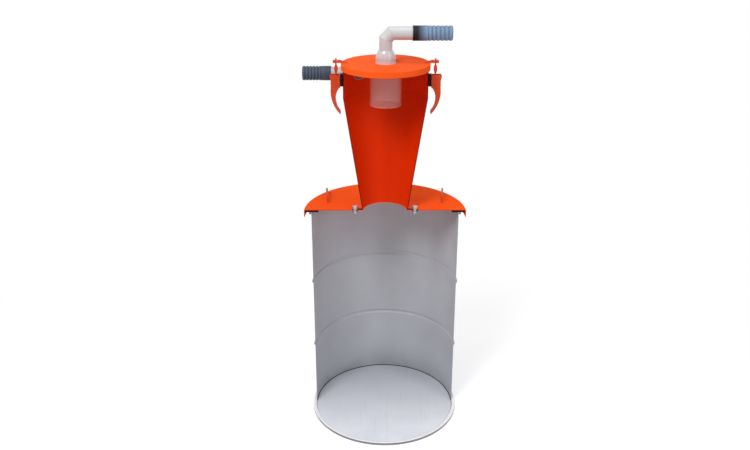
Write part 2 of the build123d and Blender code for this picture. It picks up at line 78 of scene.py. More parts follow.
scene = bpy.context.scene
camera_data = bpy.data.cameras.new("camera")
camera_data.lens = camera_lens
camera_data.sensor_width = 36.0
camera = bpy.data.objects.new("camera", camera_data)
camera.location = camera_place
camera.rotation_euler = (camera_tilt, 0.0, 0.0)
scene.collection.objects.link(camera)
scene.camera = camera
scene.view_settings.view_transform = "Standard"
print("camera at", camera_place[:], "lens", camera_lens)

# %% [markdown]
# Blender mixes light in linear numbers, while colours are picked in display numbers.
# One helper turns a display colour of 0 to 255 into the linear one that a shader wants.

# %% Convert picked colours


def display(red, green, blue):
    """Turn a display colour into a linear one with full alpha."""
    linear = []
    for value in (red, green, blue):
        share = value / 255.0
        if share <= 0.04045:
            linear.append(share / 12.92)
        else:
            linear.append(((share + 0.055) / 1.055) ** 2.4)
    return (*linear, 1.0)


print("mid grey in linear numbers", round(display(128, 128, 128)[0], 3))

# %% [markdown]
# A shader is a graph of small nodes, and wiring each one by hand buries what it is for. These
# helpers add the kinds of node that come back all the time. An input can be a plain number or
# another node's socket, so that a value can be fixed in one material and vary in the next.

# %% Add shader nodes


def feed(tree, slot, value):
    """Feed an input from a socket, or set it to a number, a vector or a colour."""
    if isinstance(value, bpy.types.NodeSocket):
        tree.links.new(value, slot)
    else:
        slot.default_value = value


def add_math(tree, operation, first, second, clamp=True):
    """Add a math node, whose result is kept between 0 and 1 unless told otherwise."""
    node = tree.nodes.new("ShaderNodeMath")
    node.operation = operation
    node.use_clamp = clamp
    feed(tree, node.inputs[0], first)
    feed(tree, node.inputs[1], second)
    return node.outputs[0]


def add_vector_math(tree, operation, first, second=(0.0, 0.0, 0.0)):
    """Add a vector math node; a length or a dot product gives a value, the rest a vector."""
    node = tree.nodes.new("ShaderNodeVectorMath")
    node.operation = operation
    feed(tree, node.inputs[0], first)
    feed(tree, node.inputs[1], second)
    return node.outputs["Value" if operation in ("LENGTH", "DOT_PRODUCT") else "Vector"]


def add_range(tree, value, low, high, to_low=0.0, to_high=1.0, kind="LINEAR"):
    """Map a value from one range to another."""
    node = tree.nodes.new("ShaderNodeMapRange")
    node.interpolation_type = kind
    for slot, number in zip(node.inputs, (value, low, high, to_low, to_high)):
        feed(tree, slot, number)
    return node.outputs["Result"]


def own(tree, kind):
    """Give the place on the object ("Object"), or the object's own normal ("Normal")."""
    return tree.nodes.new("ShaderNodeTexCoord").outputs[kind]


def own_axis(tree, kind, axis):
    """Give one axis of the object's own place or normal."""
    parts = tree.nodes.new("ShaderNodeSeparateXYZ")
    tree.links.new(own(tree, kind), parts.inputs[0])
    return parts.outputs[axis]


def mix_shaders(tree, share, first, second):
    """Mix two shaders by a share."""
    mix = tree.nodes.new("ShaderNodeMixShader")
    for slot, socket in zip(mix.inputs, (share, first, second)):
        tree.links.new(socket, slot)
    return mix.outputs[0]


print("node helpers ready")

# %% [markdown]
# Soft studio light comes from large area lamps: a key from the front left and well above, a
# weaker fill from the right, and dim ones at the left, overhead and behind. What faces up is
# brighter than what faces the camera. Small lamps would give hard shadows inside the drum.
# The fill and side lamps are tall, narrow panels, because the mirror image of such a panel
# draws an upright streak on glossy plastic.
# The world gives a dim, even light of its own, but the camera and the reflections see it white.

# %% Light the studio
world_fill = 0.36
lamps = (
    # name, place, width and height, watts
    ("key_lamp", (-1.7, -2.6, 4.4), (1.8, 1.8), 104.0),
    ("fill_lamp", (3.0, -2.6, 2.4), (0.7, 3.0), 30.0),
    ("side_lamp", (-3.6, -1.1, 2.8), (0.5, 2.6), 12.0),
    ("top_lamp", (0.3, -0.4, 4.6), (2.6, 2.6), 31.0),
    ("back_lamp", (3.2, 3.0, 2.6), (2.4, 2.4), 16.0),
)
aim_point = Vector((0.0, 0.0, 0.85))

for name, place, size, watts in lamps:
    lamp_data = bpy.data.lights.new(name, "AREA")
    lamp_data.shape = "ELLIPSE"
    lamp_data.size, lamp_data.size_y = size
    lamp_data.energy = watts
    lamp_object = bpy.data.objects.new(name, lamp_data)
    lamp_object.location = place
    aim = aim_point - Vector(place)
    lamp_object.rotation_euler = aim.to_track_quat("-Z", "Y").to_euler()
    scene.collection.objects.link(lamp_object)


def seen_directly(tree):
    """Give a value that is 1 for camera, glossy and transmission rays, and 0 for the rest."""
    rays = tree.nodes.new("ShaderNodeLightPath").outputs
    direct = add_math(tree, "MAXIMUM", rays["Is Camera Ray"], rays["Is Glossy Ray"])
    return add_math(tree, "MAXIMUM", direct, rays["Is Transmission Ray"])


world = bpy.data.worlds.new("studio_world")
scene.world = world
world.use_nodes = True
world_tree = world.node_tree
world_tree.nodes.clear()
world_out = world_tree.nodes.new("ShaderNodeOutputWorld")
world_dim = world_tree.nodes.new("ShaderNodeBackground")
world_dim.inputs["Strength"].default_value = world_fill
world_white = world_tree.nodes.new("ShaderNodeBackground")
for background in (world_dim, world_white):
    background.inputs["Color"].default_value = (1.0, 1.0, 1.0, 1.0)
seen = seen_directly(world_tree)
world_light = mix_shaders(world_tree, seen, world_dim.outputs[0], world_white.outputs[0])
world_tree.links.new(world_light, world_out.inputs["Surface"])
print("lamps", len(lamps), "watts", sum(lamp[3] for lamp in lamps))

# %% [markdown]
# The floor is a wide pale disc. Near the drum it is an ordinary matt surface that takes the
# drum's shadow, with a little glow of its own so that it reads as white. Further out it fades
# to plain white, which hides where the lamps' light ends.

# %% Lay the floor
floor_radius = 40.0
floor_drop = 0.0005
floor_glow = 0.42
fade_start = 0.7
fade_end = 2.2

floor_mesh = bpy.data.meshes.new("studio_floor")
floor_builder = bmesh.new()
bmesh.ops.create_circle(floor_builder, cap_ends=True, segments=96, radius=floor_radius)
bmesh.ops.translate(floor_builder, verts=floor_builder.verts, vec=(0.0, 0.0, -floor_drop))
floor_builder.to_mesh(floor_mesh)
floor_builder.free()
floor = bpy.data.objects.new("studio_floor", floor_mesh)
scene.collection.objects.link(floor)
floor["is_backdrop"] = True

floor_paint = bpy.data.materials.new("studio_floor")
floor_paint.use_nodes = True
tree = floor_paint.node_tree
tree.nodes.clear()
floor_out = tree.nodes.new("ShaderNodeOutputMaterial")
matt = tree.nodes.new("ShaderNodeBsdfDiffuse")
matt.inputs["Color"].default_value = display(238, 238, 240)
glow = tree.nodes.new("ShaderNodeEmission")
lit_floor = tree.nodes.new("ShaderNodeAddShader")
white = tree.nodes.new("ShaderNodeEmission")
seen = seen_directly(tree)
feed(tree, glow.inputs["Strength"], add_math(tree, "MULTIPLY", seen, floor_glow))
tree.links.new(matt.outputs[0], lit_floor.inputs[0])
tree.links.new(glow.outputs[0], lit_floor.inputs[1])
distance = add_vector_math(tree, "LENGTH", own(tree, "Object"))
faded = add_range(tree, distance, fade_start, fade_end, kind="SMOOTHSTEP")
faded = add_math(tree, "MULTIPLY", faded, seen)
floor_surface = mix_shaders(tree, faded, lit_floor.outputs[0], white.outputs[0])
tree.links.new(floor_surface, floor_out.inputs["Surface"])
floor_mesh.materials.append(floor_paint)
print("floor radius", floor_radius)

# %% [markdown]
# Several finishes need the same effects, so each effect is a node group of its own with named
# inputs and outputs. A group is built once and placed in every material with that material's
# own numbers. The helpers below make an empty group with its sockets, and the noise that
# most of the groups use.

# %% Make node groups


def new_group(name, inputs, outputs):
    """Make a group from (name, default) inputs and (name, kind) outputs; give its sockets."""
    group = bpy.data.node_groups.new(name, "ShaderNodeTree")
    for label, value in inputs:
        socket = group.interface.new_socket(label, in_out="INPUT", socket_type="NodeSocketFloat")
        socket.default_value = value
    for label, kind in outputs:
        group.interface.new_socket(label, in_out="OUTPUT", socket_type=kind)
    group_in = group.nodes.new("NodeGroupInput").outputs
    return group, group_in, group.nodes.new("NodeGroupOutput").inputs


def add_noise(tree, scale, detail, stretch=(1.0, 1.0, 1.0)):
    """Add a noise in object space, squeezed along the axes where the stretch is over 1."""
    mapping = tree.nodes.new("ShaderNodeMapping")
    mapping.inputs["Scale"].default_value = stretch
    noise = tree.nodes.new("ShaderNodeTexNoise")
    noise.inputs["Detail"].default_value = detail
    feed(tree, noise.inputs["Scale"], scale)
    tree.links.new(own(tree, "Object"), mapping.inputs["Vector"])
    tree.links.new(mapping.outputs["Vector"], noise.inputs["Vector"])
    return noise.outputs["Fac"]


print("group helpers ready")

# %% [markdown]
# Edge wear: paint is thinnest and rubs away first on sharp edges. The Bevel node gives the
# normal that a rounded edge would have, and where it differs from the true normal there is
# an edge. A noise breaks the line up. The same rounded normal also softens the edge's shine,
# so the group hands that out too.

# %% Group: edge wear
edge_wear, group_in, group_out = new_group(
    "edge_wear",
    [("Width", 0.001), ("Amount", 0.5), ("Break Scale", 260.0)],
    [("Mask", "NodeSocketFloat"), ("Normal", "NodeSocketVector")],
)
rounded = edge_wear.nodes.new("ShaderNodeBevel")
rounded.samples = 4
surface = edge_wear.nodes.new("ShaderNodeNewGeometry")
edge_wear.links.new(group_in["Width"], rounded.inputs["Radius"])
two_normals = rounded.outputs["Normal"], surface.outputs["Normal"]
same = add_vector_math(edge_wear, "DOT_PRODUCT", *two_normals)
edge_line = add_range(edge_wear, same, 0.995, 0.86)
break_noise = add_noise(edge_wear, group_in["Break Scale"], 3.0)
broken = add_range(edge_wear, break_noise, 0.46, 0.62)
worn = add_math(edge_wear, "MULTIPLY", edge_line, broken)
worn = add_math(edge_wear, "MULTIPLY", worn, group_in["Amount"])
edge_wear.links.new(worn, group_out["Mask"])
edge_wear.links.new(rounded.outputs["Normal"], group_out["Normal"])
print("edge_wear nodes", len(edge_wear.nodes))

# %% [markdown]
# Grain: no made surface is perfectly smooth. Sprayed paint has a fine ripple like orange peel,
# cast plastic has a faint haze. Two noises of different size, blended, give a height for a
# Bump node, and the same height can vary the roughness.

# %% Group: grain
grain, group_in, group_out = new_group(
    "grain",
    [("Scale", 400.0), ("Coarse Share", 0.3)],
    [("Height", "NodeSocketFloat")],
)
fine_noise = add_noise(grain, group_in["Scale"], 2.0)
coarse_scale = add_math(grain, "MULTIPLY", group_in["Scale"], 0.17, clamp=False)
coarse_noise = add_noise(grain, coarse_scale, 2.0)
grain_mix = grain.nodes.new("ShaderNodeMix")
grain.links.new(group_in["Coarse Share"], grain_mix.inputs["Factor"])
grain.links.new(fine_noise, grain_mix.inputs["A"])
grain.links.new(coarse_noise, grain_mix.inputs["B"])
grain.links.new(grain_mix.outputs["Result"], group_out["Height"])
print("grain nodes", len(grain.nodes))

# %% [markdown]
# Streaks: rolled sheet keeps the direction in which it passed the mill, and whatever slides on
# it leaves fine scratches. A noise squeezed along one axis gives the mill lines. A second one,
# squeezed along the other and cut down to its peaks, gives a few scratches across them.

# %% Group: streaks
streaks_group, group_in, group_out = new_group(
    "streaks",
    [("Scale", 60.0), ("Scratches", 0.3)],
    [("Height", "NodeSocketFloat"), ("Scratch", "NodeSocketFloat")],
)
mill_lines = add_noise(streaks_group, group_in["Scale"], 3.0, stretch=(0.06, 4.0, 1.0))
cross_lines = add_noise(streaks_group, group_in["Scale"], 2.0, stretch=(3.0, 0.12, 1.0))
scratch_peaks = add_range(streaks_group, cross_lines, 0.62, 0.7)
scratch = add_math(streaks_group, "MULTIPLY", scratch_peaks, group_in["Scratches"])
streaks_group.links.new(mill_lines, group_out["Height"])
streaks_group.links.new(scratch, group_out["Scratch"])
print("streaks nodes", len(streaks_group.nodes))

# %% [markdown]
# Mottle and dust: large parts are never one even colour. Mottle is a slow noise between two
# values. Dust settles on what faces up, so its mask is the upward part of the object's own
# normal, broken by a noise. The object's normal turns with the part, so the dust stays put.

# %% Groups: mottle and dust
mottle, group_in, group_out = new_group(
    "mottle",
    [("Scale", 5.0), ("Low", 0.0), ("High", 1.0)],
    [("Value", "NodeSocketFloat")],
)
slow_noise = add_noise(mottle, group_in["Scale"], 4.0)
spread = add_range(mottle, slow_noise, 0.34, 0.66, group_in["Low"], group_in["High"])
mottle.links.new(spread, group_out["Value"])

dust, group_in, group_out = new_group(
    "dust",
    [("Scale", 30.0), ("Amount", 0.2)],
    [("Mask", "NodeSocketFloat")],
)
faces_up = add_range(dust, own_axis(dust, "Normal", "Z"), 0.45, 0.98)
patches = add_range(dust, add_noise(dust, group_in["Scale"], 5.0), 0.35, 0.7)
settled = add_math(dust, "MULTIPLY", faces_up, patches)
settled = add_math(dust, "MULTIPLY", settled, group_in["Amount"])
dust.links.new(settled, group_out["Mask"])
print("mottle nodes", len(mottle.nodes), "dust nodes", len(dust.nodes))

# %% [markdown]
# Painted shade low down: the colour is darkened towards the floor, as shade gathers in the corner
# there. The mask is strongest at the foot, fades out with height, and a noise makes its upper edge
# uneven. It is for parts that never leave the ground.

# %% Group: painted shade near the ground
ground_shade, group_in, group_out = new_group(
    "ground_shade",
    [("Height", 0.12), ("Amount", 0.3)],
    [("Mask", "NodeSocketFloat")],
)
# This mask paints shade: it darkens the colour towards the floor.
share_up = add_math(ground_shade, "DIVIDE", own_axis(ground_shade, "Object", "Z"), group_in["Height"])
near_ground = add_range(ground_shade, share_up, 1.0, 0.0)
cloud = add_range(ground_shade, add_noise(ground_shade, 16.0, 5.0), 0.3, 0.7, 0.35, 1.0)
ground_darkening = add_math(ground_shade, "MULTIPLY", near_ground, near_ground)
ground_darkening = add_math(ground_shade, "MULTIPLY", ground_darkening, cloud)
ground_darkening = add_math(ground_shade, "MULTIPLY", ground_darkening, group_in["Amount"])
ground_shade.links.new(ground_darkening, group_out["Mask"])
print("grime nodes", len(ground_shade.nodes))

# %% [markdown]
# Two masks tell where on the machine a surface lies. The inside mask is 1 where a wall faces the
# upright axis, and a darker colour there is painted shade inside the cone. The cut mask is 1 on the
# faces of the cut itself, which look along -Y, and a darker colour there is painted shade on the
# cut faces.

# %% Group: inside and cut masks
places, group_in, group_out = new_group(
    "inside_and_cut",
    [("Cut Depth", 0.0004)],
    [("Inside", "NodeSocketFloat"), ("Cut", "NodeSocketFloat")],
)
flat_place = add_vector_math(places, "MULTIPLY", own(places, "Object"), (1.0, 1.0, 0.0))
outward = add_vector_math(places, "NORMALIZE", flat_place)
toward = add_vector_math(places, "DOT_PRODUCT", own(places, "Normal"), outward)
inside = add_range(places, toward, -0.25, -0.6)
at_cut = add_math(places, "LESS_THAN", own_axis(places, "Object", "Y"), group_in["Cut Depth"])
faces_cut = add_range(places, own_axis(places, "Normal", "Y"), -0.97, -0.995)
on_cut = add_math(places, "MULTIPLY", at_cut, faces_cut)
places.links.new(inside, group_out["Inside"])
places.links.new(on_cut, group_out["Cut"])
print("inside_and_cut nodes", len(places.nodes))

# %% [markdown]
# Each material keeps its own Principled shader. The helpers below place a group with its
# values, blend two colours by a mask, and turn a height into a normal, so that a finish
# reads as a short recipe.

# %% Material helpers


def new_material(name, roughness=0.5, metallic=0.0, coat=0.0, coat_roughness=0.05, shine=0.5):
    """Make a material; give it with its tree and the inputs of its Principled shader."""
    material = bpy.data.materials.new(name)
    material.use_nodes = True
    shader = material.node_tree.nodes["Principled BSDF"].inputs
    shader["Roughness"].default_value = roughness
    shader["Metallic"].default_value = metallic
    shader["Coat Weight"].default_value = coat
    shader["Coat Roughness"].default_value = coat_roughness
    shader["Specular IOR Level"].default_value = shine
    return material, material.node_tree, shader


def place_group(tree, group, **values):
    """Place a node group and give its outputs; inputs go by name, with _ for a space."""
    node = tree.nodes.new("ShaderNodeGroup")
    node.node_tree = group
    for label, value in values.items():
        node.inputs[label.replace("_", " ")].default_value = value
    return node.outputs


def blend_colour(tree, mask, first, second):
    """Blend two colours, or colour sockets, by a mask."""
    mix = tree.nodes.new("ShaderNodeMix")
    mix.data_type = "RGBA"
    for index, value in ((0, mask), (6, first), (7, second)):
        feed(tree, mix.inputs[index], value)
    return mix.outputs[2]


def add_bump(tree, shader, height, depth, normal=None):
    """Feed a height of the given depth in metres to the shader's normal."""
    bump = tree.nodes.new("ShaderNodeBump")
    bump.inputs["Strength"].default_value = 1.0
    bump.inputs["Distance"].default_value = depth
    tree.links.new(height, bump.inputs["Height"])
    if normal is not None:
        tree.links.new(normal, bump.inputs["Normal"])
    tree.links.new(bump.outputs["Normal"], shader["Normal"])


print("material helpers ready")

# %% [markdown]
# Paint: the sheet steel here is sprayed, all but the drum's floor. The recipe is a base colour
# with a slow drift between two shades, bare primer where edges have rubbed, a breath of dust
# on top, and the orange-peel ripple of sprayed paint. Gloss paint gets a thin clear coat,
# satin none.
# A wall that faces inward and the faces of the cut can be given a painted shade of their own, and
# the foot of a wall a painted shade that darkens towards the floor.

# %% Paint recipe


def make_paint(
    name, shade, light, worn, roughness, shine, peel_depth=0.00007, wear=0.3,
    coat=0.0, edge=0.0012, dusty=0.0, ground_shading=0.0, inner_shade=None, cut_shade=None,
):
    """Make a sprayed paint from two shades, the colour under it, and its gloss."""
    material, tree, shader = new_material(name, roughness, coat=coat, shine=shine)
    drift = place_group(tree, mottle, Scale=4.0)
    edges = place_group(tree, edge_wear, Width=edge, Amount=wear)
    colour = blend_colour(tree, drift["Value"], shade, light)
    if inner_shade or cut_shade:
        masks = place_group(tree, places)
    # Painted shade on walls that face the axis, inside the cone.
    if inner_shade:
        colour = blend_colour(tree, masks["Inside"], colour, inner_shade)
    colour = blend_colour(tree, edges["Mask"], colour, worn)
    # Painted shade on the faces of the cut.
    if cut_shade:
        colour = blend_colour(tree, masks["Cut"], colour, cut_shade)
    # Painted shade: the colour darkens towards the foot of a wall.
    if ground_shading:
        ground_shaded = place_group(tree, ground_shade, Height=0.16, Amount=ground_shading)
        colour = blend_colour(tree, ground_shaded["Mask"], colour, display(92, 92, 96))
    if dusty:
        lying = place_group(tree, dust, Scale=26.0, Amount=dusty)
        colour = blend_colour(tree, lying["Mask"], colour, display(196, 188, 178))
    tree.links.new(colour, shader["Base Color"])
    peel = place_group(tree, grain, Scale=420.0, Coarse_Share=0.45)
    rough = add_range(tree, peel["Height"], 0.3, 0.7, roughness - 0.04, roughness + 0.05)
    tree.links.new(rough, shader["Roughness"])
    add_bump(tree, shader, peel["Height"], peel_depth, edges["Normal"])
    return material


orange_gloss = make_paint(
    "orange_gloss_paint",
    shade=display(251, 86, 22),
    light=display(255, 95, 30),
    worn=display(255, 150, 96),
    roughness=0.4,
    coat=0.06,
    shine=0.0,
    peel_depth=0.00003,
    dusty=0.02,
)
orange_satin = make_paint(
    "orange_satin_paint",
    shade=display(252, 80, 6),
    light=display(255, 90, 12),
    worn=display(214, 96, 50),
    roughness=0.6,
    shine=0.03,
    wear=0.35,
    dusty=0.02,
    # Painted shade on the faces of the cut.
    cut_shade=display(226, 64, 12),
)
cyclone_paint = make_paint(
    "cyclone_paint",
    shade=display(244, 74, 8),
    light=display(252, 84, 14),
    worn=display(226, 70, 24),
    roughness=0.5,
    shine=0.06,
    # Painted shade on the inner wall of the cone.
    inner_shade=display(222, 50, 2),
    # Painted shade on the faces of the cut.
    cut_shade=display(112, 6, 2),
)
latch_paint = make_paint(
    "latch_paint",
    shade=display(202, 64, 28),
    light=display(216, 78, 40),
    worn=display(132, 84, 64),
    roughness=0.46,
    shine=0.14,
    peel_depth=0.00006,
    wear=0.55,
    edge=0.0008,
)
print("made", orange_gloss.name, orange_satin.name, cyclone_paint.name, latch_paint.name)

# %% [markdown]
# The drum is painted in a flat, cool grey. Its floor is lighter, as bare zinc-coated sheet is, and
# painted darker towards the rear wall, a painted shade where the wall shades it.
# The ring that it stands on is painted near white on top, a painted highlight, and grey down its
# side, a painted shade with scuffs in it: the upward part of the normal tells one from the other.

# %% Drum finishes
drum_grey = make_paint(
    "drum_grey_paint",
    shade=display(180, 182, 187),
    light=display(190, 192, 198),
    worn=display(206, 208, 212),
    ground_shading=0.5,
    roughness=0.5,
    shine=0.35,
    peel_depth=0.00008,
    wear=0.4,
)

floor_sheet, tree, shader = new_material("drum_floor_sheet", roughness=0.42, shine=0.35)
rolled = place_group(tree, streaks_group, Scale=40.0, Scratches=0.16)
patches = place_group(tree, mottle, Scale=7.0)
sheet_colour = blend_colour(
    tree, patches["Value"], display(232, 238, 247), display(241, 246, 253)
)
mill_share = add_range(tree, rolled["Height"], 0.3, 0.7, 0.0, 0.1)
sheet_colour = blend_colour(tree, mill_share, sheet_colour, display(196, 201, 212))
sheet_colour = blend_colour(tree, rolled["Scratch"], sheet_colour, display(176, 180, 190))
# Painted shade: the floor darkens towards the rear wall, which shades it.
rear_shade = add_range(tree, own_axis(tree, "Object", "Y"), -0.2, 0.24, 0.0, 0.8)
sheet_colour = blend_colour(tree, rear_shade, sheet_colour, display(168, 172, 182))
tree.links.new(sheet_colour, shader["Base Color"])
sheet_rough = add_range(tree, patches["Value"], 0.0, 1.0, 0.36, 0.5)
tree.links.new(sheet_rough, shader["Roughness"])
add_bump(tree, shader, rolled["Height"], 0.00004)

chime_zinc, tree, shader = new_material("chime_zinc", roughness=0.3, coat=0.2)
# Painted light: near white where the ring faces up, a painted highlight, and darker grey on its
# side, a painted shade.
painted_top_light = add_range(tree, own_axis(tree, "Normal", "Z"), 0.1, 0.62)
scuffs = add_noise(tree, 120.0, 4.0, stretch=(1.0, 1.0, 4.0))
shaded_side_colour = blend_colour(tree, scuffs, display(96, 100, 106), display(128, 132, 138))
chime_colour = blend_colour(tree, painted_top_light, shaded_side_colour, display(252, 253, 255))
tree.links.new(chime_colour, shader["Base Color"])
tree.links.new(add_range(tree, scuffs, 0.3, 0.7, 0.24, 0.42), shader["Roughness"])
add_bump(tree, shader, scuffs, 0.00006)
print("made", drum_grey.name, floor_sheet.name, chime_zinc.name)

# %% [markdown]
# Fasteners are zinc-plated steel: a metal, so it has no paint colour, only tinted reflections.
# Plating is faintly streaked from the barrel it was tumbled in. A noise stretched along one
# axis gives those streaks, and they vary both the roughness and the height.

# %% Zinc steel
zinc_steel, tree, shader = new_material("zinc_steel", roughness=0.34, metallic=1.0)
streaks = add_noise(tree, 900.0, 3.0, stretch=(1.0, 1.0, 0.12))
edges = place_group(tree, edge_wear, Width=0.0008, Amount=0.8)
zinc_colour = blend_colour(tree, streaks, display(150, 152, 152), display(186, 188, 188))
zinc_colour = blend_colour(tree, edges["Mask"], zinc_colour, display(226, 228, 230))
tree.links.new(zinc_colour, shader["Base Color"])
tree.links.new(add_range(tree, streaks, 0.3, 0.7, 0.3, 0.5), shader["Roughness"])
add_bump(tree, shader, streaks, 0.00004, edges["Normal"])
print("made", zinc_steel.name)

# %% [markdown]
# Rubber: the gasket, the seal and the latch pads are black and dull, with a powdery bloom
# that shows most on their edges. Rubber reflects little, so its shine is low.

# %% Black rubber
black_rubber, tree, shader = new_material("black_rubber", roughness=0.68, shine=0.12)
bloom = place_group(tree, mottle, Scale=40.0)
edges = place_group(tree, edge_wear, Width=0.0007, Amount=0.25)
# The black is tinted red-brown: a painted reflection of the orange paint around it.
rubber_colour = blend_colour(tree, bloom["Value"], display(18, 9, 8), display(30, 17, 15))
rubber_colour = blend_colour(tree, edges["Mask"], rubber_colour, display(62, 50, 46))
tree.links.new(rubber_colour, shader["Base Color"])
skin = place_group(tree, grain, Scale=900.0, Coarse_Share=0.3)
add_bump(tree, shader, skin["Height"], 0.00012, edges["Normal"])
print("made", black_rubber.name)

# %% [markdown]
# The hose cuffs are a slate-blue rubber, painted paler on the crowns of their ribs and darker in
# the grooves: a painted highlight on the crowns and painted shade in the grooves. A cuff runs along
# X, so the distance from its axis, which uses only Y and Z, tells crown from groove. The collar end
# is darker than the ribbed end, and a range along X carries the one colour into the other.

# %% Cuff rubber
groove_radius = 0.0243
crown_radius = 0.0268


def make_cuff_rubber(name, axis_place, fade_x, collar, groove, crown):
    """Make a cuff's rubber: collar colour first, then groove and crown colours by radius."""
    material, tree, shader = new_material(name, roughness=0.55, shine=0.2)
    from_axis = add_vector_math(tree, "SUBTRACT", own(tree, "Object"), axis_place)
    across = add_vector_math(tree, "MULTIPLY", from_axis, (0.0, 1.0, 1.0))
    radius = add_vector_math(tree, "LENGTH", across)
    # Painted light and shade: paler crowns, darker grooves.
    crown_light_mask = add_range(tree, radius, groove_radius, crown_radius)
    ribbed = blend_colour(tree, crown_light_mask, groove, crown)
    speckle = place_group(tree, mottle, Scale=220.0, Low=0.0, High=0.35)
    ribbed = blend_colour(tree, speckle["Value"], ribbed, crown)
    toward_ribs = add_range(tree, own_axis(tree, "Object", "X"), *fade_x)
    colour = blend_colour(tree, toward_ribs, collar, ribbed)
    tree.links.new(colour, shader["Base Color"])
    edges = place_group(tree, edge_wear, Width=0.0008, Amount=0.2)
    skin = place_group(tree, grain, Scale=700.0, Coarse_Share=0.4)
    add_bump(tree, shader, skin["Height"], 0.0001, edges["Normal"])
    return material


cuff_axis = {}
for name in ("inlet_cuff", "outlet_cuff"):
    low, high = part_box(name)
    cuff_axis[name] = (low + high) / 2
inlet_rubber = make_cuff_rubber(
    "inlet_cuff_rubber",
    cuff_axis["inlet_cuff"],
    fade_x=(-0.215, -0.245),
    collar=display(62, 72, 87),
    groove=display(58, 67, 82),
    crown=display(78, 88, 104),
)
outlet_rubber = make_cuff_rubber(
    "outlet_cuff_rubber",
    cuff_axis["outlet_cuff"],
    fade_x=(0.113, 0.146),
    collar=display(22, 20, 26),
    groove=display(92, 112, 140),
    crown=display(122, 145, 174),
)
print("cuff axes", cuff_axis)

# %% [markdown]
# The outlet socket and the elbow are moulded white plastic, glossy, with a very faint ripple.
# The inlet pipe and the sealant are greyer and duller. The vortex tube is clear plastic. Real
# refraction would bend the cone behind it, but a thin clear wall mostly veils what is behind,
# so a low alpha over a pale, shiny surface says the same with less noise.

# %% Plastics


def make_white_plastic(name, shade, light, roughness):
    """Make a glossy moulded plastic from two close shades."""
    material, tree, shader = new_material(name, roughness, coat=0.4, coat_roughness=0.08)
    drift = place_group(tree, mottle, Scale=14.0)
    edges = place_group(tree, edge_wear, Width=0.0004, Amount=0.15)
    colour = blend_colour(tree, drift["Value"], shade, light)
    colour = blend_colour(tree, edges["Mask"], colour, display(236, 236, 238))
    tree.links.new(colour, shader["Base Color"])
    ripple = place_group(tree, grain, Scale=120.0, Coarse_Share=0.5)
    add_bump(tree, shader, ripple["Height"], 0.00003, edges["Normal"])
    return material


white_plastic = make_white_plastic(
    "white_plastic", shade=display(192, 190, 193), light=display(204, 202, 205), roughness=0.22
)
grey_plastic = make_white_plastic(
    "grey_plastic", shade=display(172, 172, 176), light=display(186, 186, 190), roughness=0.38
)

clear_plastic, tree, shader = new_material("clear_plastic", roughness=0.12, coat=0.4, shine=0.3)
haze = place_group(tree, mottle, Scale=9.0)
pale_pink = display(230, 194, 188)
clear_colour = blend_colour(tree, haze["Value"], display(216, 176, 170), pale_pink)
tree.links.new(clear_colour, shader["Base Color"])
shader["Alpha"].default_value = 0.15
ripple = place_group(tree, grain, Scale=30.0, Coarse_Share=0.5)
add_bump(tree, shader, ripple["Height"], 0.0001)
print("made", white_plastic.name, grey_plastic.name, clear_plastic.name)

# %% [markdown]
# Now each part of the frame gets its finish. A table of node names is easier to check than
# a chain of conditions, and a part that is missing from it stops the script at once. What
# comes as a left and a right one is added in a loop.

# %% Dress the frame
finishes = {
    "drum_wall": drum_grey,
    "drum_top_bead": drum_grey,
    "drum_bottom": floor_sheet,
    "bottom_chime": chime_zinc,
    "drum_gasket": black_rubber,
    "drum_lid": orange_satin,
    "cone": cyclone_paint,
    "barrel": cyclone_paint,
    "cone_flange": cyclone_paint,
    "flange_bolts": zinc_steel,
    "flange_washers": zinc_steel,
    "flange_nuts": zinc_steel,
    "lid_seal": black_rubber,
    "top_lid": orange_gloss,
    "vortex_tube": clear_plastic,
    "outlet_socket": white_plastic,
    "outlet_elbow": white_plastic,
    "outlet_cuff": outlet_rubber,
    "inlet_pipe": grey_plastic,
    "inlet_cuff": inlet_rubber,
}
painted_pairs = (
    "lid_handle", "latch_base", "latch_keeper", "latch_lever", "lever_rivets",
    "link_pin", "link_rod", "adjuster_nut", "cross_pin",
)
sides = {"left": -1, "right": 1}
for side in sides:
    finishes[f"latch_pad_{side}"] = black_rubber
    for name in painted_pairs:
        finishes[f"{name}_{side}"] = latch_paint

for name, node in nodes.items():
    if not node.data.materials:
        node.data.materials.append(None)
    for index in range(len(node.data.materials)):
        node.data.materials[index] = finishes[name]
print("dressed", len(nodes), "nodes with", len(set(finishes.values())), "finishes")

# %% [markdown]
# Welds, sealant and threads are all round sections drawn along a line. One helper makes such
# a tube from a list of points and its radii. A curve object with a bevel could do it too,
# but its radius is hard to ripple, and a weld is nothing but ripples.

# %% Make tubes along a path
added_pieces = []


def finish_piece(builder, name, material, body):
    """Turn a finished builder into an object that wears a material and rides on a body."""
    bmesh.ops.recalc_face_normals(builder, faces=builder.faces)
    mesh = bpy.data.meshes.new(name)
    builder.to_mesh(mesh)
    builder.free()
    mesh.materials.append(material)
    for face in mesh.polygons:
        face.use_smooth = True
    piece = bpy.data.objects.new(name, mesh)
    scene.collection.objects.link(piece)
    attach(piece, body)
    added_pieces.append(piece)
    print(name, "has", len(mesh.polygons), "faces")
    return piece


def join_rings(builder, first, second):
    """Join two rings of points with a belt of faces."""
    for step in range(len(first)):
        following = (step + 1) % len(first)
        builder.faces.new((first[step], first[following], second[following], second[step]))


def turns(steps):
    """Give the angles of one whole turn in even steps."""
    return [2 * math.pi * step / steps for step in range(steps)]


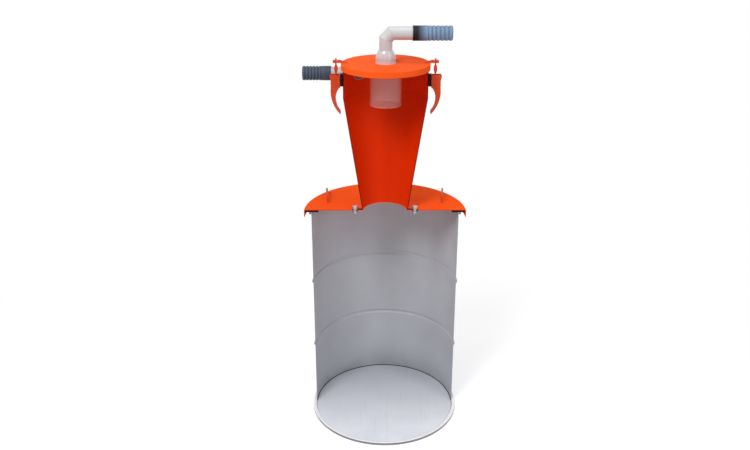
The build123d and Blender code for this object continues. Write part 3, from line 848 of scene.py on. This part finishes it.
def add_tube(builder, path, radii, around=8, closed=False):
    """Draw a tube with one radius or one for each point; open ends are closed flat."""
    count = len(path)
    if isinstance(radii, float):
        radii = [radii] * count
    rings = []
    across = None
    for index, point in enumerate(path):
        before = path[index - 1] if closed or index > 0 else point
        after = path[(index + 1) % count] if closed or index < count - 1 else point
        along = (after - before).normalized()
        if across is None:
            across = along.orthogonal().normalized()
        across = (across - along * across.dot(along)).normalized()
        other = along.cross(across)
        ring = []
        for turn in turns(around):
            offset = across * math.cos(turn) + other * math.sin(turn)
            ring.append(builder.verts.new(point + offset * radii[index]))
        rings.append(ring)
    pairs = list(zip(rings, rings[1:]))
    if closed:
        last = rings[-1]
        shift = min(range(around), key=lambda s: (last[0].co - rings[0][s].co).length)
        pairs.append((last, rings[0][shift:] + rings[0][:shift]))
    else:
        builder.faces.new(rings[0])
        builder.faces.new(list(reversed(rings[-1])))
    for first, second in pairs:
        join_rings(builder, first, second)


def arc_points(height, radius, start, end, steps=96, middle=(0.0, 0.0)):
    """Give points on a level arc, with its angles in degrees from +X towards +Y."""
    centre = Vector((*middle, height))
    points = []
    for step in range(steps + 1):
        turn = math.radians(start + (end - start) * step / steps)
        points.append(centre + Vector((radius * math.cos(turn), radius * math.sin(turn), 0.0)))
    return points


print("tube helpers ready")

# %% [markdown]
# A hand-laid weld looks like a row of fallen coins: the pool moves on in small steps, and
# each step leaves a crescent. Resampling the seam at a quarter of that step and letting the
# radius swing with it gives those crescents. The swing drifts a little, as a hand does.

# %% Lay a weld bead


def resample(path, spacing, closed=False):
    """Give points at an even spacing along a path."""
    points = list(path) + ([path[0]] if closed else [])
    lengths = [0.0]
    for first, second in zip(points, points[1:]):
        lengths.append(lengths[-1] + (second - first).length)
    count = max(4, round(lengths[-1] / spacing))
    even = []
    segment = 0
    for step in range(count if closed else count + 1):
        target = lengths[-1] * step / count
        while segment < len(points) - 2 and lengths[segment + 1] < target:
            segment += 1
        span = lengths[segment + 1] - lengths[segment] or 1.0
        even.append(points[segment].lerp(points[segment + 1], (target - lengths[segment]) / span))
    return even


def lay_weld(builder, path, radius, closed=False):
    """Add a rippled weld bead of the given radius along a seam."""
    seam = resample(path, radius * 0.5, closed)
    radii = []
    for index in range(len(seam)):
        phase = index / 4 % 1.0
        drift = 0.06 * math.sin(index * 0.23) + 0.04 * math.sin(index * 0.071 + 2.0)
        radii.append(radius * (0.84 + 0.2 * abs(math.cos(math.pi * phase)) + drift))
    add_tube(builder, seam, radii, closed=closed)


spans = {}
for name in ("cone", "barrel", "cone_flange", "outlet_socket", "drum_lid", "top_lid"):
    low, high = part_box(name)
    spans[name] = {"foot": low.z, "top": high.z, "radius": high.x}
print("barrel radius", round(spans["barrel"]["radius"], 4))

# %% [markdown]
# The cyclone is rolled from sheet and welded: one bead where the cone stands on its flange,
# one where the barrel sits on the cone, and one straight seam up the back of both, where
# the sheet's edges meet. All lie on the outside, because the inside is ground smooth for the air.

# %% Weld the cyclone
barrel_radius = spans["barrel"]["radius"]
cone_foot_radius = 0.088
flange_top = spans["cone_flange"]["top"]
cone_foot = spans["cone"]["foot"]
cone_top = spans["cone"]["top"]
lid_skirt_foot = spans["top_lid"]["foot"]
cone_lean = (barrel_radius - cone_foot_radius) / (cone_top - cone_foot)
flange_seam_radius = cone_foot_radius + cone_lean * (flange_top - cone_foot)
foot_bead = 0.0026
foot_bead_out = 0.0006
barrel_bead = 0.0019
barrel_bead_sink = 0.0012
sheet_bead = 0.0017
sheet_bead_sink = 0.0008
flange_gap = 0.003
seam_gap = 0.002

weld_builder = bmesh.new()
foot_seam = arc_points(flange_top, flange_seam_radius + foot_bead_out, 1, 179)
lay_weld(weld_builder, foot_seam, foot_bead)
barrel_seam = arc_points(cone_top, barrel_radius - barrel_bead_sink, 0.6, 179.4)
lay_weld(weld_builder, barrel_seam, barrel_bead)
cone_seam = [
    Vector((0, flange_seam_radius - sheet_bead_sink, flange_top + flange_gap)),
    Vector((0, barrel_radius - sheet_bead_sink, cone_top - seam_gap)),
]
lay_weld(weld_builder, cone_seam, sheet_bead)
sheet_seam = [
    Vector((0, barrel_radius - sheet_bead_sink, cone_top + seam_gap)),
    Vector((0, barrel_radius - sheet_bead_sink, lid_skirt_foot)),
]
lay_weld(weld_builder, sheet_seam, sheet_bead)
finish_piece(weld_builder, "cyclone_welds", cyclone_paint, "head")

# %% [markdown]
# The inlet pipe pushes through a hole in the barrel. Its joint is the curve where two cylinders
# meet: for each turn round the pipe, Y and Z come from the pipe's circle, and X from the barrel's.
# A plastic pipe can't be welded to steel, so this bead is sealant, smooth and a little fatter than
# a weld. The socket's foot on the lid has the same, and a moulded bead runs round it where its
# upright band meets the shoulder. That bead wears the grey sealant's finish, darker than the
# socket, so that it draws a painted shade line at the crease.

# %% Seal the pipes
pipe_low, pipe_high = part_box("inlet_pipe")
pipe_radius = (pipe_high.z - pipe_low.z) / 2
inlet_axis = cuff_axis["inlet_cuff"]
joint_steps = 72
joint_bead = 0.0026
joint_bead_out = 0.0004
foot_sealant = 0.0011
sealant_swing = 0.0002
socket_radius = spans["outlet_socket"]["radius"]
socket_base = spans["outlet_socket"]["foot"]
socket_band = 0.0175
band_bead = 0.0012
band_bead_sink = 0.0007

sealant_and_crease_builder = bmesh.new()
joint = []
for turn in turns(joint_steps):
    y = inlet_axis.y + pipe_radius * math.cos(turn)
    z = inlet_axis.z + pipe_radius * math.sin(turn)
    joint.append(Vector((-math.sqrt(barrel_radius**2 - y**2) - joint_bead_out, y, z)))
add_tube(sealant_and_crease_builder, joint, joint_bead, around=10, closed=True)
socket_foot = arc_points(socket_base, socket_radius, 0, 355, 71)
foot_radii = []
for step in range(len(socket_foot)):
    foot_radii.append(foot_sealant + sealant_swing * math.sin(step * 0.9))
add_tube(sealant_and_crease_builder, socket_foot, foot_radii, closed=True)
# This bead is grey, darker than the socket: a painted shade line at the crease.
crease_shade_line = arc_points(socket_base + socket_band, socket_radius - band_bead_sink, 0, 355, 71)
add_tube(sealant_and_crease_builder, crease_shade_line, band_bead, closed=True)
finish_piece(sealant_and_crease_builder, "sealant_and_crease_shade", grey_plastic, "head")

# %% [markdown]
# The elbow is three lengths of pipe, cut on the slant and fused. A mitred pipe shows its joint
# as an ellipse in the plane that halves the bend: as wide as the pipe across, and along the
# slant longer by one over the cosine of half the bend. A fine fused rim stands out there.

# %% Fuse the elbow
elbow_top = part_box("outlet_elbow")[1].z
elbow_mitre = 0.02
outlet_axis_z = elbow_top - pipe_radius
half_bend = math.radians(22.5)
rim_radius = 0.0008
rim_steps = 64

fusion_builder = bmesh.new()
mitres = (
    (Vector((0, 0, outlet_axis_z - elbow_mitre)), half_bend),
    (Vector((elbow_mitre, 0, outlet_axis_z)), 3 * half_bend),
)
for centre, lean in mitres:
    slant = Vector((math.cos(lean), 0, -math.sin(lean)))
    rim = []
    for turn in turns(rim_steps):
        sideways = Vector((0, pipe_radius * math.cos(turn), 0))
        rim.append(centre + sideways + slant * (pipe_radius / math.cos(half_bend) * math.sin(turn)))
    add_tube(fusion_builder, rim, rim_radius, closed=True)
finish_piece(fusion_builder, "elbow_fusion", white_plastic, "head")

# %% [markdown]
# The handles and the latch keepers are welded to the lids. Each handle foot gets a small ring
# of weld. A keeper gets a bead round its tip and along both sides, as far as it lies on the lid.

# %% Weld the handles and keepers
rod_radius = 0.0035
handle_bead = 0.0015
handle_bead_out = 0.0004
handle_ring_radius = rod_radius + handle_bead_out
lid_face = spans["drum_lid"]["top"]
keeper_tip_half = 0.0025
keeper_widening = 0.0040
keeper_taper_length = 0.0277
keeper_slope = keeper_widening / keeper_taper_length
keeper_weld_length = 0.021
keeper_bead = 0.001

fittings_builder = bmesh.new()
for side, sign in sides.items():
    low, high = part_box(f"lid_handle_{side}")
    outer_x = max(abs(low.x), abs(high.x)) - rod_radius
    inner_x = min(abs(low.x), abs(high.x)) + rod_radius
    feet = ((inner_x, low.y + rod_radius), (outer_x, high.y - rod_radius))
    for x, y in feet:
        ring = arc_points(lid_face, handle_ring_radius, 0, 345, 23, middle=(sign * x, y))
        lay_weld(fittings_builder, ring, handle_bead, closed=True)
    low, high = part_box(f"latch_keeper_{side}")
    tip_x = min(abs(low.x), abs(high.x))
    end_x = tip_x + keeper_weld_length
    end_half = keeper_tip_half + keeper_slope * keeper_weld_length
    outline = (
        (end_x, -end_half),
        (tip_x, -keeper_tip_half),
        (tip_x, keeper_tip_half),
        (end_x, end_half),
    )
    seam = [Vector((sign * x, y, spans["top_lid"]["top"])) for x, y in outline]
    lay_weld(fittings_builder, seam, keeper_bead)
finish_piece(fittings_builder, "fitting_welds", latch_paint, "head")

# %% [markdown]
# The drum's wall is a rolled sheet with one welded seam up the back. The seam follows the
# rolling hoops, so its line bulges where they do. It stops short of the rim's bead.

# %% Weld the drum
drum_radius = 0.287
hoop_heights = (0.287, 0.574)
hoop_reach = 0.005
hoop_half = 0.009
seam_low = 0.014
seam_high = 0.86
seam_steps = 423
seam_bead = 0.0016
seam_bead_out = 0.0003

drum_line = []
for step in range(seam_steps + 1):
    z = seam_low + (seam_high - seam_low) * step / seam_steps
    bulge = 0.0
    for hoop in hoop_heights:
        away = abs(z - hoop) / hoop_half
        if away < 1.0:
            bulge = hoop_reach * (1.0 - away**2)
    drum_line.append(Vector((0, drum_radius + bulge + seam_bead_out, z)))
drum_builder = bmesh.new()
lay_weld(drum_builder, drum_line, seam_bead)
finish_piece(drum_builder, "drum_seam_weld", drum_grey, "drum")

# %% [markdown]
# A drum is made dust-tight with a bead of dark compound between its wall and its floor. Here the
# bead is black and also draws the dark line of shade in that corner: partly sealant, partly a
# painted shade line. Behind the cut it follows the wall's inner face. In front, where the wall is
# cut away, it fills the corner between the floor and the standing ring.

# %% Run the floor compound and its shade line
floor_top = 0.006
wall_inner_radius = 0.2855
rear_fillet = 0.0023
front_fillet = 0.0013
# The black bead also draws the corner's line of shade: a painted shade line.
compound_shade_builder = bmesh.new()
rear_line = arc_points(floor_top, wall_inner_radius, 0, 180, 144)
add_tube(compound_shade_builder, rear_line, rear_fillet)
front_line = arc_points(floor_top, drum_radius, 181, 359, 144)
add_tube(compound_shade_builder, front_line, front_fillet)
finish_piece(compound_shade_builder, "floor_compound_shade", black_rubber, "drum")

# %% [markdown]
# The ring under the drum is the floor sheet and the wall sheet folded round each other and
# rolled tight. Its section has a shelf that rises a little outward, a rounded lip, a slight
# waist, and a curl at the foot. Turning such a section about the upright axis gives smooth
# highlights all the way round. It takes the place of the plain ring in the frame.

# %% Roll the chime


def turn_section(builder, section, steps):
    """Turn a closed section of (radius, height) points about the upright axis."""
    rings = []
    for radius, height in section:
        ring = []
        for turn in turns(steps):
            place = (radius * math.cos(turn), radius * math.sin(turn), height)
            ring.append(builder.verts.new(place))
        rings.append(ring)
    for first, second in zip(rings, rings[1:] + rings[:1]):
        join_rings(builder, first, second)


lip_radius = 0.0026
lip_centre = (0.2982, 0.0094)
lip_steps = 12
shelf_tilt = math.radians(96)
chime_section = [(0.2871, 0.0), (0.2871, 0.0102), (0.2879, 0.0108)]
for step in range(lip_steps + 1):
    turn = shelf_tilt * (1 - step / lip_steps)
    lip_x = lip_centre[0] + lip_radius * math.cos(turn)
    lip_z = lip_centre[1] + lip_radius * math.sin(turn)
    chime_section.append((lip_x, lip_z))
chime_section += [(0.3003, 0.0064), (0.2997, 0.0046), (0.3001, 0.0028)]
chime_section += [(0.3007, 0.0015), (0.3004, 0.0003), (0.2994, 0.0)]
chime_builder = bmesh.new()
turn_section(chime_builder, chime_section, 192)
rolled_chime = finish_piece(chime_builder, "rolled_chime", chime_zinc, "drum")
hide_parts("bottom_chime")

# %% [markdown]
# The link rods are threaded so that the latch can be set. A thread is a ridge wound round the
# rod, so it is drawn as a thin tube along a helix. It shows between the eye and the adjuster,
# above the adjuster, and on the rod's tip above the cross pin.

# %% Thread the link rods
rod_half = 0.0025
thread_pitch = 0.0008
thread_ridge = 0.00036
thread_steps = 14
eye_height = 0.015
bare_tip = 0.0005

for side in sides:
    rod_low, rod_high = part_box(f"link_rod_{side}")
    nut_low, nut_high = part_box(f"adjuster_nut_{side}")
    pin_low, pin_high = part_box(f"cross_pin_{side}")
    centre_x = (nut_low.x + nut_high.x) / 2
    stretches = (
        (rod_low.z + eye_height, nut_low.z),
        (nut_high.z, pin_low.z),
        (pin_high.z, rod_high.z - bare_tip),
    )
    thread_builder = bmesh.new()
    for low_z, high_z in stretches:
        wraps = (high_z - low_z) / thread_pitch
        helix = []
        for step in range(round(wraps * thread_steps) + 1):
            turn = 2 * math.pi * step / thread_steps
            x = centre_x + rod_half * math.cos(turn)
            y = rod_half * math.sin(turn)
            helix.append(Vector((x, y, low_z + thread_pitch * step / thread_steps)))
        add_tube(thread_builder, helix, thread_ridge, around=5)
    finish_piece(thread_builder, f"rod_thread_{side}", latch_paint, f"link_{side}")

# %% [markdown]
# Two button-head screws hold each latch base to the barrel through its rubber pad. A button
# head is a low dome with a hexagonal socket. Its section is turned about the screw's axis,
# and the inner points are pushed out to a hexagon where the socket is.

# %% Screw down the latch bases
screw_radius = 0.0036
socket_half = 0.0014
socket_floor = 0.0008
head_height = 0.0021
dome = ((1.0, 0.0), (0.97, 0.0009), (0.8, 0.0017), (0.55, head_height))
screw_steps = 24


def add_screw(builder, place, outward):
    """Add a button-head screw on a wall that faces along -X or +X."""
    rings = []
    for share, height in dome:
        rings.append([(screw_radius * share, height)] * screw_steps)
    for height in (head_height, socket_floor):
        socket = []
        for step in range(screw_steps):
            within = (step * 360 / screw_steps + 30) % 60 - 30
            socket.append((socket_half / math.cos(math.radians(within)), height))
        rings.append(socket)
    placed = []
    for ring in rings:
        verts = []
        for turn, (radius, height) in zip(turns(screw_steps), ring):
            offset = Vector((outward * height, radius * math.cos(turn), radius * math.sin(turn)))
            verts.append(builder.verts.new(place + offset))
        placed.append(verts)
    for first, second in zip(placed, placed[1:]):
        join_rings(builder, first, second)
    builder.faces.new(placed[-1])


base_plate_face = 0.169
screw_inset = 0.0075
screw_builder = bmesh.new()
for side, sign in sides.items():
    low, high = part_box(f"latch_pad_{side}")
    for height in (low.z + screw_inset, high.z - screw_inset):
        add_screw(screw_builder, Vector((sign * base_plate_face, 0, height)), sign)
finish_piece(screw_builder, "base_screws", zinc_steel, "head")

# %% [markdown]
# The vortex tube's lower end is rolled into a small lip, so that it doesn't crack or whistle.
# The lip also catches the light and shows where the tube ends inside the barrel.

# %% Roll the tube's lip
tube_low, tube_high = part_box("vortex_tube")
tube_lip = 0.0021
tube_lip_rise = 0.0015
tube_lip_sink = 0.0014
lip_line = arc_points(tube_low.z + tube_lip_rise, tube_high.x - tube_lip_sink, 0, 357, 119)
lip_builder = bmesh.new()
add_tube(lip_builder, lip_line, tube_lip, around=10, closed=True)
finish_piece(lip_builder, "tube_lip", clear_plastic, "head")

# %% [markdown]
# Last, the dressed part is measured. Its box should be nearly that of the bare frame: a weld or a
# screw that sticks out far past the frame is in the wrong place or too big.

# %% Measure the dressed part
low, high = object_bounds()
print("scene box", [round(v, 3) for v in low], [round(v, 3) for v in high])
print("added", len(added_pieces), "pieces")
